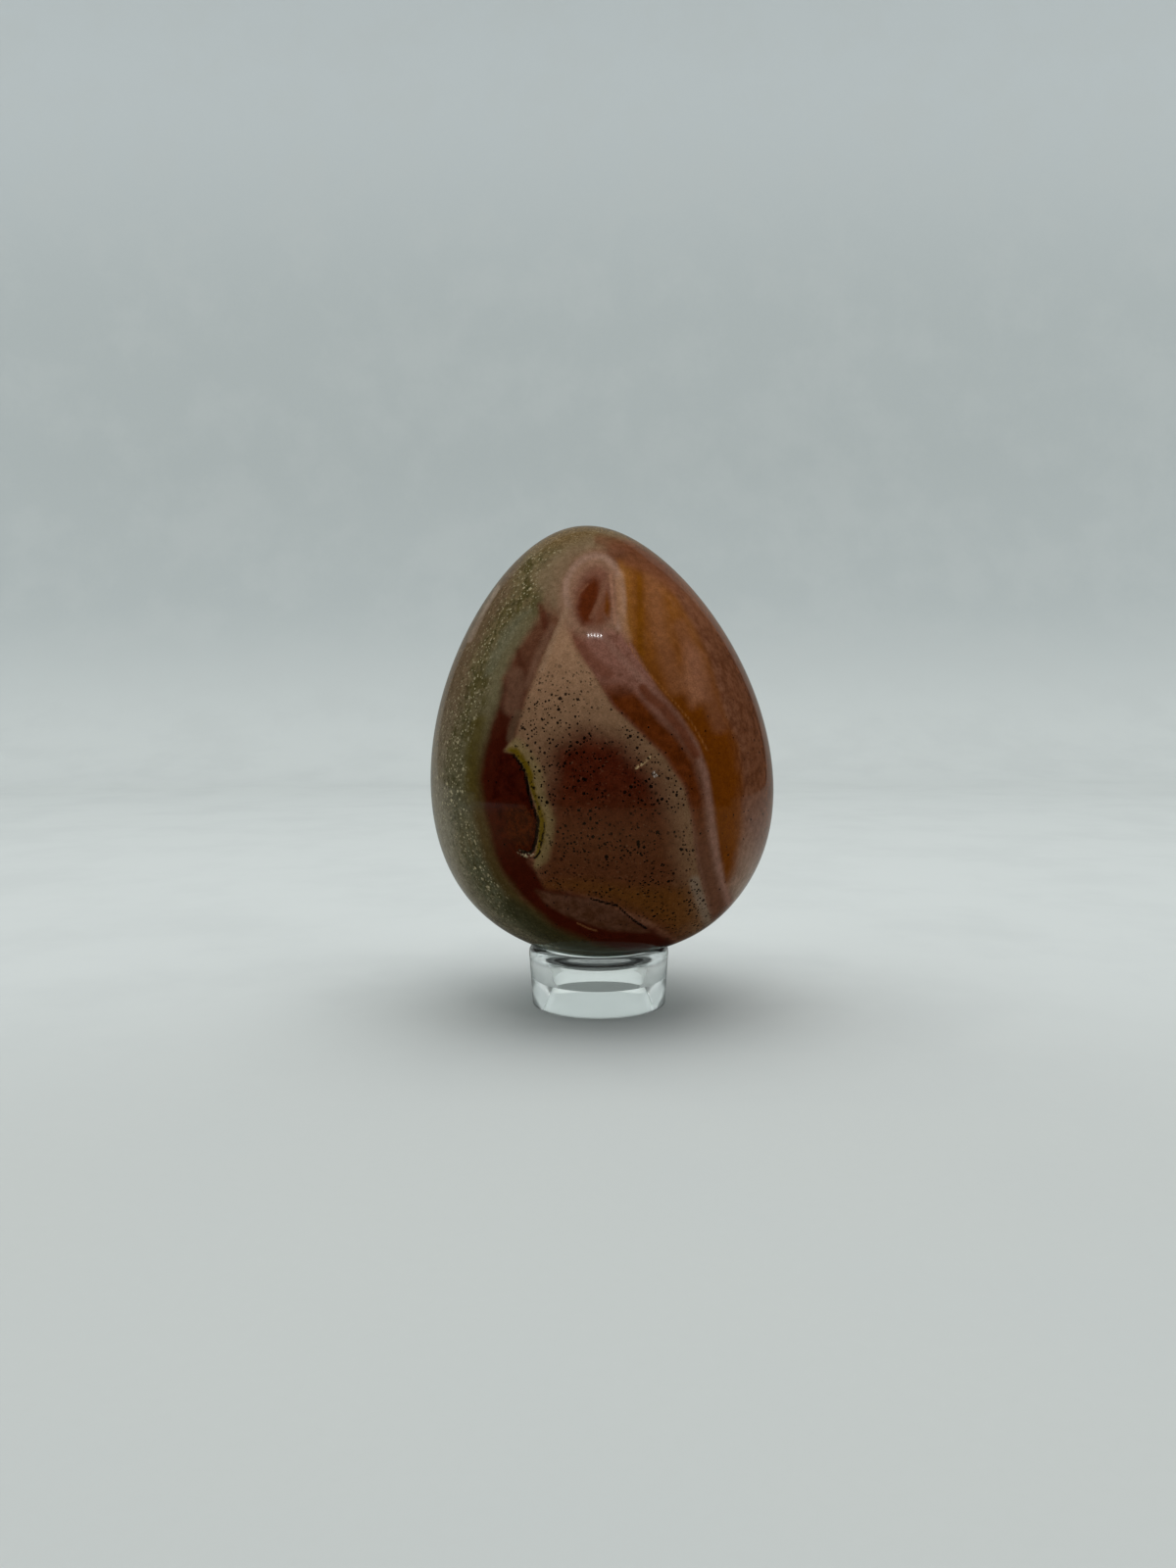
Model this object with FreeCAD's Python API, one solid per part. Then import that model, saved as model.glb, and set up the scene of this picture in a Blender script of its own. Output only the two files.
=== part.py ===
"""Decorative egg of polished stone, resting in a small clear ring stand.

The origin is the centre of the stand's foot, on the table. +Z is up and the viewer
looks along +Y. The egg sits in the ring by its own weight, blunt end down.
"""
import FreeCAD, Part
import math
import os

MM = 1.0

# Clear ring stand: a short thick-walled ring whose bore narrows to a waist. The widths
# are steps of the radius, from the outer edge in to the waist and out again to the foot
ring_height = 10.65 * MM
ring_top_radius = 12.7 * MM
ring_taper = 0.7 * MM
land_width = 2.1 * MM
land_drop = 0.2 * MM
dish_width = 1.55 * MM
dish_depth = 2.15 * MM
throat_width = 0.35 * MM
neck_width = 0.25 * MM
neck_rise = 0.8 * MM
waist_height = 4.3 * MM
flare_width = 1.0 * MM
flare_drop = 2.2 * MM
hollow_width = 1.15 * MM
edge_rounding = 0.2 * MM

ring_foot_radius = ring_top_radius - ring_taper
rim_radius = ring_top_radius - land_width
rim_height = ring_height - land_drop
throat_radius = rim_radius - dish_width
neck_radius = throat_radius - throat_width
waist_radius = neck_radius - neck_width
flare_radius = waist_radius + flare_width
hollow_radius = flare_radius + hollow_width

# Stone egg, blunt end down: the shares make one end blunter than the other
egg_length = 76.3 * MM
egg_width = 60.8 * MM
egg_taper_shares = (0.427, 0.111, 0.121, 0.102)
egg_spans = 28

# How the egg sits on the ring, with its lean towards -X in degrees
egg_lean = 4.4
egg_offset = 0.1 * MM
seat_clearance = 0.05 * MM
seat_steps_around = 72
seat_steps_along = 1600

ORIGIN = FreeCAD.Vector(0, 0, 0)
ALONG_X = FreeCAD.Vector(1, 0, 0)
ALONG_Y = FreeCAD.Vector(0, 1, 0)
ALONG_Z = FreeCAD.Vector(0, 0, 1)


def point(x, z):
    """A point of a half section, which lies in the XZ plane."""
    return FreeCAD.Vector(x, 0, z)


def turned(edges):
    """The solid that a closed half section sweeps in one turn about the Z axis."""
    face = Part.Face(Part.Wire(edges))
    return face.revolve(ORIGIN, ALONG_Z, 360)


def bore_section():
    """Radius and height of the bore's corners, from the rim down to the foot."""
    return [
        (rim_radius, rim_height),
        (throat_radius, rim_height - dish_depth),
        (neck_radius, waist_height + neck_rise),
        (waist_radius, waist_height),
        (flare_radius, waist_height - flare_drop),
        (hollow_radius, 0),
    ]


def is_circle_at(edge, radius, height):
    """Whether an edge is the circle of this radius and height about the Z axis."""
    if not isinstance(edge.Curve, Part.Circle):
        return False
    near = edge_rounding / 10
    return abs(edge.Curve.Radius - radius) < near and abs(edge.Curve.Center.z - height) < near


def ring_stand():
    """The clear ring, with its rim and its two outer edges eased."""
    foot_and_top = [(ring_foot_radius, 0), (ring_top_radius, ring_height)]
    points = [point(radius, height) for radius, height in foot_and_top + bore_section()]
    ring = turned(Part.makePolygon(points + points[:1]).Edges)
    circles = foot_and_top + bore_section()[:1]
    eased = [edge for edge in ring.Edges
             if any(is_circle_at(edge, radius, height) for radius, height in circles)]
    return ring.makeFillet(edge_rounding, eased)


def egg_share(along):
    """The egg's radius before scaling, at a share of its axis from -1, the blunt tip, to 1."""
    first, second, third, fourth = egg_taper_shares
    taper = 1 + first * along + second * along**2 + third * along**3 + fourth * along**4
    return math.sqrt(max(0, 1 - along**2) / taper)


def egg_section(spans):
    """Radius and height of the egg's side from the blunt tip up, about its middle."""
    shares = [-math.cos(math.pi * step / spans) for step in range(spans + 1)]
    widest = max(egg_share(share) for share in shares)
    return [(egg_width / 2 * egg_share(share) / widest, egg_length / 2 * share) for share in shares]


def upright_egg():
    """The egg with its axis along Z and its middle at the origin."""
    points = [point(radius, height) for radius, height in egg_section(egg_spans)]
    side = Part.BSplineCurve()
    side.interpolate(Points=points, InitialTangent=ALONG_X, FinalTangent=-ALONG_X)
    axis = Part.LineSegment(points[-1], points[0])
    return turned([side.toShape(), axis.toShape()])


def support_height(radius):
    """Height of the ring's upper surface at a radius, or of the table where there is no ring."""
    surface = [(ring_top_radius, ring_height)] + bore_section()[:4]
    for (outer, upper), (inner, lower) in zip(surface, surface[1:]):
        if inner <= radius <= outer:
            return lower + (upper - lower) * (radius - inner) / (outer - inner)
    return 0


def seated_height():
    """Height of the egg's middle at which the leaning egg just clears the ring."""
    cosine, sine = math.cos(math.radians(egg_lean)), math.sin(math.radians(egg_lean))
    blunt_half = egg_section(seat_steps_along)[:seat_steps_along // 2]
    height = 0
    for radius, along in blunt_half:
        for step in range(seat_steps_around):
            turn = 2 * math.pi * step / seat_steps_around
            across = radius * math.cos(turn)
            x = across * cosine - along * sine + egg_offset
            z = across * sine + along * cosine
            support = support_height(math.hypot(x, radius * math.sin(turn)))
            height = max(height, support - z)
    return height + seat_clearance


def stone_egg():
    """The egg as it rests, leaning a little in the ring."""
    egg = upright_egg()
    egg.rotate(ORIGIN, ALONG_Y, -egg_lean)
    egg.translate(point(egg_offset, seated_height()))
    return egg


def main():
    os.makedirs("parts", exist_ok=True)
    for name, shape in (("ring_stand", ring_stand()), ("stone_egg", stone_egg())):
        shape.exportStep("parts/" + name + ".step")
        box = shape.optimalBoundingBox()
        print(name, "valid", shape.isValid(), "volume", round(shape.Volume, 1),
              "x", round(box.XMin, 2), round(box.XMax, 2),
              "z", round(box.ZMin, 2), round(box.ZMax, 2))


main()
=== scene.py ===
import math

import bpy
import numpy as np
from mathutils import Matrix, Vector, noise

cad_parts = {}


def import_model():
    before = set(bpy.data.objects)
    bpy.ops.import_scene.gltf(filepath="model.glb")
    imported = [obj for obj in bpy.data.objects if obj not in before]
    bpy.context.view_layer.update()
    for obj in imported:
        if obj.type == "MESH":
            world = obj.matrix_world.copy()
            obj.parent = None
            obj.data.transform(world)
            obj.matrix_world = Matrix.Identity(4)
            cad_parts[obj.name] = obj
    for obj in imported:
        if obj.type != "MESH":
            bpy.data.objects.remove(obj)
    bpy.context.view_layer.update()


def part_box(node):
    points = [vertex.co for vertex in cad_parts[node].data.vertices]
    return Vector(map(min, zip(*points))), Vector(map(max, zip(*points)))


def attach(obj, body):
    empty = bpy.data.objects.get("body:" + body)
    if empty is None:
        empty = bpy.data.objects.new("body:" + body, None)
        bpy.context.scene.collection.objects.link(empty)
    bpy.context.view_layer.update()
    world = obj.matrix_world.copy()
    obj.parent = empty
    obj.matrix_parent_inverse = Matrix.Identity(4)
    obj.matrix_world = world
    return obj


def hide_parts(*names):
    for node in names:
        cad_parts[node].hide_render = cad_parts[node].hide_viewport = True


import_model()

MM = 0.001
PHOTO_SIZE = (1200, 1600)

# Camera that took the photograph, found from the outlines of the egg and the ring
CAMERA_PLACE = (-1.78, -210.57, 57.86)
CAMERA_PITCH = math.radians(4.94)
CAMERA_ROLL = math.radians(0.30)
FOCAL_PIXELS = 1202
SENSOR_MM = 36
PIXELS_PER_MM = 5.8

# The egg's shape, as in part.py
EGG_LENGTH = 76.3
EGG_WIDTH = 60.8
EGG_TAPER = (0.427, 0.111, 0.121, 0.102)
EGG_LEAN = math.radians(4.4)
EGG_ROWS = 242
EGG_COLUMNS = 412

# The ring's half section, radius and height, as in part.py, from the foot round the outside
RING_SECTION = [(12.0, 0), (12.7, 10.65), (10.6, 10.45), (9.05, 8.3),
                (8.7, 5.1), (8.45, 4.3), (9.45, 2.1), (10.6, 0)]

# How far some of its corners are rounded, by their place in the list: the outer edge of the
# foot and of the top, the rim and the throat
RING_EASINGS = {0: 0.2, 1: 1.1, 2: 0.2, 3: 2.2}
RING_EASE_STEPS = 5
RING_GUARD = 0.03
RING_COLUMNS = 256
RING_SHARP_ANGLE = math.radians(25)

# The stone's figure. Its outlines and lines are in the photograph's pixels, put down one by one.
# First its regions: outline, then softness and waver of the edge in millimetres.
REGIONS = {
    "rind": ([(400, 500), (640, 500), (606, 555), (582, 562), (566, 580), (558, 606), (552, 626),
        (524, 667), (513, 694), (508, 720), (500, 746), (494, 770), (490, 796), (495, 831),
        (505, 872), (515, 892), (533, 916), (568, 947), (609, 964), (637, 970), (640, 1000),
        (400, 1000)], 0.9, 1.0),
    "crown": ([(535, 566), (560, 560), (600, 556), (624, 552), (645, 553), (662, 561),
        (680, 572), (700, 560), (640, 490), (540, 490)], 1.6, 1.4),
    "red": ([(556, 610), (575, 640), (551, 678), (537, 713), (526, 754), (536, 789), (549, 838),
        (541, 878), (556, 900), (600, 917), (668, 948), (712, 975), (640, 1000), (560, 950),
        (520, 905), (480, 850), (480, 780), (497, 730), (520, 670), (550, 625)], 1.0, 1.2),
    "pocket": ([(581, 619), (588, 658), (609, 692), (626, 720), (654, 747), (678, 771),
        (699, 802), (706, 830), (712, 882), (723, 926), (735, 965), (690, 957), (657, 937),
        (609, 917), (583, 911), (556, 907), (545, 884), (549, 855), (549, 838), (547, 822),
        (539, 800), (536, 789), (531, 779), (522, 768), (515, 766), (526, 752), (537, 713),
        (551, 678), (568, 641)], 0.6, 0.6),
    "deep_pocket": ([(564, 761), (595, 744), (637, 758), (671, 796), (690, 850), (697, 900),
        (700, 1000), (600, 1000), (535, 925), (556, 840)], 3.4, 2.6),
    "band": ([(604, 686), (618, 695), (640, 697), (650, 709), (670, 733), (690, 753), (706, 776),
        (716, 812), (722, 850), (731, 895), (748, 950), (735, 965), (723, 926), (712, 882),
        (706, 830), (699, 802), (678, 771), (654, 747), (626, 720)], 0.8, 0.6),
    "ridge": ([(583, 640), (600, 637), (620, 636), (631, 626), (637, 644), (654, 675),
        (671, 703), (692, 727), (712, 758), (723, 789), (728, 823), (733, 864), (740, 902),
        (762, 950), (735, 965), (723, 926), (712, 882), (706, 830), (699, 802), (678, 771),
        (654, 747), (626, 720), (609, 692), (588, 658)], 0.45, 0.5),
    "amber": ([(628, 570), (650, 560), (672, 580), (692, 610), (712, 645), (723, 668),
        (740, 727), (755, 761), (760, 800), (757, 850), (752, 890), (740, 902), (733, 864),
        (728, 823), (723, 789), (712, 758), (692, 727), (671, 703), (654, 675), (637, 644),
        (631, 626)], 0.7, 0.8),
    "amber_deep": ([(674, 660), (688, 662), (694, 690), (716, 728), (752, 740), (757, 800),
        (754, 882), (738, 890), (731, 823), (715, 762), (692, 724), (676, 696)], 1.8, 2.0),
    "amber_rose": ([(701, 655), (716, 668), (722, 712), (706, 720), (696, 695)], 1.5, 1.0),
    "crown_red": ([(628, 556), (660, 558), (684, 578), (694, 600), (672, 590), (645, 577),
        (614, 569)], 1.6, 1.5),
    "hook": ([(575, 640), (571, 618), (572, 598), (584, 577), (602, 565), (616, 564), (629, 578),
        (633, 596), (633, 620), (635, 645), (610, 641), (595, 650)], 1.3, 0.8),
    "hook_core": ([(612, 577), (602, 579), (592, 588), (586, 602), (585, 618), (588, 632),
        (596, 643), (612, 640), (624, 634), (628, 612), (626, 594), (620, 582)], 1.2, 0.8),
    "hook_dark": ([(606, 589), (598, 594), (591, 606), (588, 622), (594, 637), (604, 635),
        (609, 618), (613, 602), (612, 592)], 0.9, 0.7),
    "hook_tongue": ([(614, 607), (609, 622), (608, 636), (617, 636), (617, 620)], 0.7, 0.3),
    "hook_sliver": ([(619, 603), (623, 619), (621, 631), (616.5, 624)], 0.5, 0.3),
    "vug": ([(524, 769), (531, 781), (536, 789), (538, 799), (541, 812), (545, 824), (548, 838),
        (547, 850), (545, 862), (541, 870), (532, 872), (520, 868), (509, 850), (502, 815),
        (503, 785), (510, 770)], 0.35, 0.3),
    "vug_floor": ([(516, 822), (545, 824), (546, 850), (540, 868), (528, 869),
        (518, 850)], 1.4, 1.5),
    "lens": ([(546, 908), (583, 914), (607, 919), (624, 924), (636, 932), (652, 944), (664, 951),
        (648, 951), (624, 950), (603, 944), (579, 935), (556, 922)], 0.5, 0.4),
    "low_orange": ([(546, 903), (583, 907), (609, 912), (657, 932), (690, 950), (712, 940),
        (700, 905), (640, 905), (590, 898)], 1.6, 1.0),
    "rim_right": ([(650, 540), (662, 562), (692, 606), (716, 650), (736, 705), (752, 755),
        (759, 800), (758, 850), (752, 885), (742, 915), (750, 960), (820, 960),
        (820, 540)], 2.0, 2.4),
    "shoulder": ([(545, 588), (560, 570), (580, 556), (600, 548), (622, 549), (616, 560),
        (606, 563), (590, 572), (580, 588), (577, 610), (572, 626), (560, 622),
        (552, 606)], 1.6, 1.4),
    "blue_patch": ([(541, 622), (533, 634), (524, 650), (512, 668), (502, 690), (494, 690),
        (500, 668), (512, 645), (526, 628)], 0.8, 0.8),
}
REGION_FRAY = 0.3

# Other edges of the pocket: beside the hollow, and round its pits
POCKET_BY_HOLLOW = (0.4, 0.3)
POCKET_PITTED = (0.8, 0.6)

# The lines of the figure: points, then half width, softness and where it differs the fray of
# the mark along it in millimetres. No mark follows the first one.
LINES = {
    "grain_line": ([(575, 548), (560, 561), (534, 610), (517, 631), (500, 666), (479, 715),
        (465, 750), (462, 800), (470, 850), (490, 890), (520, 925)],),
    "olive_line": ([(490, 735), (482, 765), (479, 815)], 0.1, 1.9, 1.0),
    "pale_streak": ([(508, 599), (492, 628), (479, 654)], 0.1, 0.5),
    "ridge_light": ([(614, 646), (627, 664), (641, 679), (655, 694), (666, 711), (682, 729),
        (700, 750), (709, 761), (719, 789), (725, 823), (730, 864), (737, 899),
        (746, 930)], 0.1, 1.0),
    "amber_seam": ([(640, 655), (649, 670), (659, 683), (675, 701), (689, 717), (706, 737),
        (722, 766)], 0.02, 0.3),
    "amber_pale": ([(632, 586), (633, 612), (636, 646)], 0.1, 1.3),
    "amber_line": ([(652, 575), (653, 620), (654, 668)], 0.1, 1.1),
    "amber_mauve": ([(665, 580), (672, 640), (690, 700)], 0.3, 2.4),
    "crack": ([(523, 770), (531, 780), (536, 789), (537, 797), (539, 809), (543, 822), (547, 832),
        (549, 838), (548, 848), (546.5, 858), (543.5, 868), (540, 871), (535, 870),
        (530, 867.5)], 0.18, 0.22, 0.4),
    "crack_outer": ([(555, 840), (555, 848), (552, 862), (551, 870), (545.5, 876),
        (541, 876)], 0.1, 0.16),
    "hollow_crystal": ([(530, 869), (538, 873), (545, 870)], 0.1, 0.5),
    "lens_line": ([(589, 942), (600, 947), (609, 950)], 0.1, 0.16),
    "low_crack": ([(603, 917), (620, 922), (630, 924), (636, 930), (648, 940),
        (659, 947)], 0.14, 0.16),
    # The green strip along the foot of the egg is dark partly as painted shade.
    "green_strip": ([(522, 926), (554, 950), (583, 964), (624, 971), (664, 969)], 0.6, 2.0),
    "spark_streak": ([(649, 784), (657, 778), (664, 772)], 0.08, 0.35),
    "spark_spot": ([(667, 788), (669, 792)], 0.2, 0.3),
}

# Other marks along two of the lines
OTHER_MARKS = {"amber_gold": ("amber_pale", 0.4, 2.6), "hollow_rim": ("crack", 0.9, 0.9, 1.0)}
LINE_FRAY = 0.2
STROKE_FRAY = 0.3

# Bands beside a line or an outline: which one, the distances in millimetres over which the
# band comes in, and how far noise wavers them
BESIDE = {
    "mauve": ("rind", 4.6, 7.4, 4.0), "strip": ("rind", 3.0, 1.2, 1.0),
    "off_rind": ("rind", 0.0, -1.0, 0.0), "grains": ("grain_line", 4.2, 0.2, 5.0),
    "halo": ("crack", 3.7, 2.0, 1.0),
}

# Rows of the photograph over which something comes in, from none to full
ROWS = {
    "red_foot": (625, 740), "red_smoke": (800, 700), "amber_foot": (620, 750),
    "amber_silk": (720, 640), "rind_foot": (600, 900), "rind_patch": (840, 740),
    "mauve_foot": (680, 860), "rind_edge_sheen": (680, 760), "strip": (600, 650),
    "strip_foot": (700, 800), "tan_foot": (650, 790), "centre_foot": (790, 870),
    "ridge_foot": (670, 780), "ridge_low": (800, 870), "band": (684, 716),
    "band_foot": (800, 890), "rim_top": (680, 610), "rim_low": (795, 880),
    "rim_foot": (850, 915), "pits": (650, 720), "stray_pits": (690, 730),
}

# Noises of the stone: size in millimetres, detail, roughness, and twist where there is any
NOISES = {
    "waver": (3.2, 4, 0.6), "fray": (0.7, 3, 0.6), "mottle": (2.2, 4, 0.6),
    "grain": (0.42, 2, 0.6), "fine": (0.2, 2, 0.5), "smoke": (5, 4, 0.55),
    "silk": (1.6, 3, 0.5, 0.3), "speck": (0.35, 1, 0.5), "moss": (1.6, 4, 0.65),
    "sand": (0.8, 3, 0.65, 0.5), "patch": (2.8, 3, 0.55, 1.0), "dark": (0.9, 3, 0.7),
    "fleck": (0.5, 2, 0.6), "ridge": (1.2, 3, 0.6), "floor": (0.8, 4, 0.7),
    "hollow": (1.6, 4, 0.65), "cloud": (1.1, 4, 0.7), "crowd": (5, 2, 0.5),
}

# How two of the noises are stretched, and turned about Y in radians
NOISE_TURNS = {"silk": ((1, 1, 0.16), math.radians(14)), "fleck": ((1, 1, 1), 1.0)}

# Where something shows in a noise: which one, and its values from none to full
SPREADS = {
    "mottle": ("mottle", 0.3, 0.7), "grain": ("grain", 0.3, 0.7),
    "red_smoke": ("smoke", 0.45, 0.65), "red_deep": ("mottle", 0.5, 0.75),
    "amber_silk": ("silk", 0.45, 0.7), "amber_shade": ("silk", 0.5, 0.3),
    "amber_speck": ("speck", 0.70, 0.76), "rind_moss": ("moss", 0.48, 0.66),
    "rind_sand": ("sand", 0.54, 0.66), "rind_patch": ("patch", 0.47, 0.6),
    "rind_dark": ("dark", 0.52, 0.62), "rind_fleck": ("fleck", 0.58, 0.66),
    "tan_shade": ("mottle", 0.5, 0.72), "tan_grain": ("grain", 0.62, 0.72),
    "ridge_shade": ("ridge", 0.5, 0.7), "floor": ("floor", 0.35, 0.65),
    "hollow": ("hollow", 0.3, 0.7), "hollow_crystal": ("grain", 0.42, 0.6),
    "spark_streak": ("grain", 0.45, 0.6), "spark_spot": ("fine", 0.42, 0.55),
    "shade": ("fine", 0.3, 0.7), "cloud": ("cloud", 0.35, 0.65), "crowd": ("crowd", 0.32, 0.5),
}

# Scattered holes and crystals: size of their cells and widest radius in millimetres, and the
# share of the cells that hold one
PITS = {
    "small_crystals": (0.5, 0.17, 0.5), "crystals": (1.0, 0.30, 0.35),
    "crown_crystals": (0.6, 0.16, 0.4), "small_pits": (0.55, 0.19, 0.7),
    "pits": (1.0, 0.29, 0.6), "stray_pits": (1.0, 0.17, 0.25),
}

# How a hole's width starts and grows with its cell's chance, how ragged and soft its edge is,
# in cells, and how sharply the chance decides
PIT_LEAST = 0.7
PIT_RAGGED = 0.3
PIT_EDGE = 0.06
PIT_CHANCE_EDGE = 0.02

# The stone's tones: a screen colour from 0 to 255, and the share that it covers where that is
# not all. They were set one by one until the render came near the photograph.
TONES = {
    "red_top": (82, 52, 36), "red_foot": (46, 11, 3), "red_smoke": (60, 30, 18, 0.55),
    "red_deep": (30, 4, 1, 0.6),
    "amber_top": (99, 57, 20), "amber_foot": (80, 38, 1), "amber_silk": (112, 71, 40, 0.35),
    "amber_shade": (90, 48, 8, 0.4), "amber_deep": (80, 37, 1, 0.8),
    "amber_rose": (116, 76, 54, 0.8), "amber_gold": (112, 72, 30, 0.75),
    "amber_pale": (132, 94, 64, 0.85), "amber_mauve": (106, 67, 43, 0.6),
    "amber_line": (88, 48, 1, 0.75), "amber_speck": (56, 24, 2, 0.5),
    "rind_top": (85, 73, 49), "rind_foot": (64, 62, 46), "rind_moss": (58, 52, 32, 0.7),
    "rind_sand": (104, 94, 72, 0.5), "rind_patch": (56, 49, 22, 0.7), "mauve_top": (80, 62, 46),
    "mauve_foot": (96, 90, 74), "rind_edge_sheen": (112, 102, 88, 0.3), "rind_dark": (44, 42, 20, 0.7),
    "crystal": (142, 131, 102, 0.7), "crystal_dull": (136, 126, 100, 0.25),
    "rind_fleck": (36, 30, 16, 0.5), "strip_top": (82, 74, 53), "strip_foot": (54, 40, 16),
    "blue_patch": (82, 78, 60, 0.7), "pale_streak": (128, 112, 98, 0.4),
    "olive_line": (58, 48, 14, 0.7), "green_strip": (36, 34, 18, 0.8),
    # The tan pocket darkens from tan_top to tan_foot partly in painted shade of the light from above.
    "tan_top": (124, 94, 71), "tan_foot": (94, 69, 49), "tan_shade": (76, 56, 38, 0.35),
    "centre_dark": (52, 14, 4), "centre_red": (61, 22, 9), "centre_foot": (69, 37, 19, 0.9),
    "low_orange": (74, 42, 12, 0.8), "tan_grain": (104, 80, 58, 0.25),
    "ridge_top": (106, 70, 58), "ridge_foot": (80, 50, 36), "ridge_shade": (72, 40, 28, 0.5),
    "ridge_low": (98, 72, 60, 0.8), "ridge_light": (112, 80, 68, 0.6), "band_dark": (64, 25, 2),
    "band_light": (76, 33, 8), "band_foot": (78, 50, 36, 0.9), "amber_seam": (122, 76, 38, 0.5),
    "shoulder": (97, 80, 60, 0.85), "hook": (112, 84, 66, 0.9), "hook_core": (94, 60, 46),
    "hook_dark": (70, 28, 8), "hook_tongue": (92, 52, 32, 0.7), "hook_sliver": (86, 42, 4),
    "halo": (100, 84, 54, 0.8), "hollow_rim": (74, 57, 1, 0.95), "hollow_dark": (34, 4, 1),
    "hollow_red": (50, 12, 3), "floor_dark": (36, 8, 1), "floor_light": (60, 21, 3),
    "hollow_crystal": (132, 118, 92),
    "spark_streak": (150, 126, 92), "spark_spot": (165, 158, 150),
    "body_dark": (80, 46, 30), "body_light": (100, 66, 48), "rim_dark": (70, 38, 20),
    "rim_light": (84, 50, 32), "rim_top": (92, 56, 36, 0.8), "rim_low": (98, 74, 63, 0.85),
    "rim_foot": (122, 104, 90, 0.8), "crown_red": (76, 45, 29, 0.85), "crown_dark": (72, 55, 30),
    "crown_light": (94, 77, 52), "crown_crystal": (140, 124, 98, 0.5), "lens_dark": (58, 33, 18),
    # The last tone, nearly black, is painted shade in the pits and cracks.
    "lens_light": (70, 44, 31), "lens_line": (96, 60, 34, 0.7), "hole_shade": (4, 2, 1, 0.96),
}
MAUVE_COVER = 0.75
STRIP_COVER = 0.9
LENS_COVER = 0.9

# The most that a channel of these colours gets
BRIGHTEST = 0.9

# Fine light and shade, and cloudiness, that all the tones are multiplied by
SHADE_DARK = (0.84, 0.84, 0.84, 1)
SHADE_LIGHT = (1.14, 1.14, 1.14, 1)
CLOUD_DARK = (0.86, 0.84, 0.82, 1)
CLOUD_LIGHT = (1.12, 1.12, 1.14, 1)

# How squarely the stone faces the photograph's camera, from none to full, where its front begins and
# where the pale painted sheen near its edge comes in
FRONT_FACING = (0.02, 0.2)
EDGE_SHEEN_FACING = (0.5, 0.15)

# Polish of the stone, and the shading of its cracks
STONE_ROUGHNESS = 0.07
STONE_IOR = 1.26
CRACK_BUMP = 0.6
CRACK_BUMP_DEPTH = 0.15

# Thin marks of the figure: line, half width and softness in millimetres, tone, and its cover
STROKES = {
    "hook_glow": ([(580, 618), (577, 606), (578, 594), (582, 584), (589, 575), (598, 569),
        (608, 567), (618, 569), (626, 576), (631, 586), (634, 598), (636, 612), (635, 626),
        (632, 640)], 0.05, 0.95, (124, 98, 84), 0.6),
    "hook_whisker": ([(627, 583), (616, 597), (611, 615), (603, 630)], 0.1, 0.6, (108, 74, 56), 0.45),
    "hook_hair": ([(586, 616), (591, 605), (600, 596)], 0.02, 0.35, (108, 70, 50), 0.45),
    "amber_edge": ([(632, 592), (633, 614), (635, 634), (641, 652)], 0.05, 1.2, (126, 90, 64), 0.6),
    "hook_pink": ([(623, 588), (625, 608), (628, 637)], 0.05, 0.45, (126, 90, 70), 0.7),
    "red_tip": ([(551, 618), (555, 632), (560, 650)], 0.1, 0.9, (60, 24, 12), 0.7),
    "pocket_lip": ([(578, 622), (566, 650), (552, 684)], 0.1, 0.7, (116, 92, 72), 0.5),
    "crown_arc": ([(612, 551), (636, 556), (658, 566), (676, 580)], 0.3, 1.3, (82, 46, 28), 0.6),
    "crown_low": ([(642, 573), (666, 582), (688, 602)], 0.2, 1.3, (96, 56, 36), 0.5),
    "ridge_fold": ([(586, 642), (592, 658), (603, 674), (620, 688)], 0.3, 1.5, (88, 50, 36), 0.75),
    "red_pale": ([(563, 640), (551, 664), (543, 686), (538, 700)], 0.1, 1.1, (98, 70, 54), 0.55),
    "red_haze": ([(526, 690), (526, 706), (522, 721)], 0.9, 1.4, (88, 62, 47), 0.6),
    "red_low_pale": ([(529, 728), (523, 742), (521, 754)], 0.2, 1.0, (78, 60, 44), 0.6),
    "red_neck": ([(529, 664), (533, 684), (530, 704)], 0.1, 0.9, (52, 22, 10), 0.5),
    "ridge_dark": ([(656, 702), (662, 710), (676, 722), (696, 746), (710, 770)],
        0.3, 1.0, (76, 36, 18), 0.85),
    "low_grey": ([(710, 900), (720, 930), (728, 955)], 0.5, 1.2, (98, 82, 68), 0.8),
    "rim_fold": ([(694, 640), (716, 690), (734, 740)], 0.4, 2.0, (96, 60, 42), 0.5),
}

# How far the figure drifts, in pixels, where it goes on round the unseen back, the size of
# the noise that moves it, and how far off its second value is taken
BACK_DRIFT = 110
BACK_DRIFT_SIZE = 34
BACK_DRIFT_SHIFT = Vector((7.3, 2.9, 5.4))

# Real relief of the egg: a slight fullness low on the right, and a groove along the crack,
# which fades where the stone turns away from the camera
GROOVE_DEPTH = 0.3
GROOVE_REACH = 0.7
BULGE_PLACE = (17.5, -12, 16)
BULGE_RADIUS = 9
BULGE_HEIGHT = 0.45
GROOVE_FADE = 5

# How bright the stone's colours come out under this light, and the light itself
STONE_LIGHT = 0.56
LAMP_SIZE = (700, 520)
LAMP_PLACE = (0, -10, 620)
LAMP_WATTS = 1.5
SPARKS = 5
SPARK_PLACE = (-6, -256, 451)
SPARK_GAP = 16
SPARK_RADIUS = 2
SPARK_WATTS = 0.05

# The paper: a floor and a backdrop, with a sweep between
PAPER_SIDE = 480
PAPER_FRONT = -410
PAPER_BACK = 450
PAPER_SWEEP = 220
PAPER_STEPS = 24
PAPER_TOP = 800
PAPER_ROUGHNESS = 0.7
PAPER_SHINE = 0.2
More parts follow.
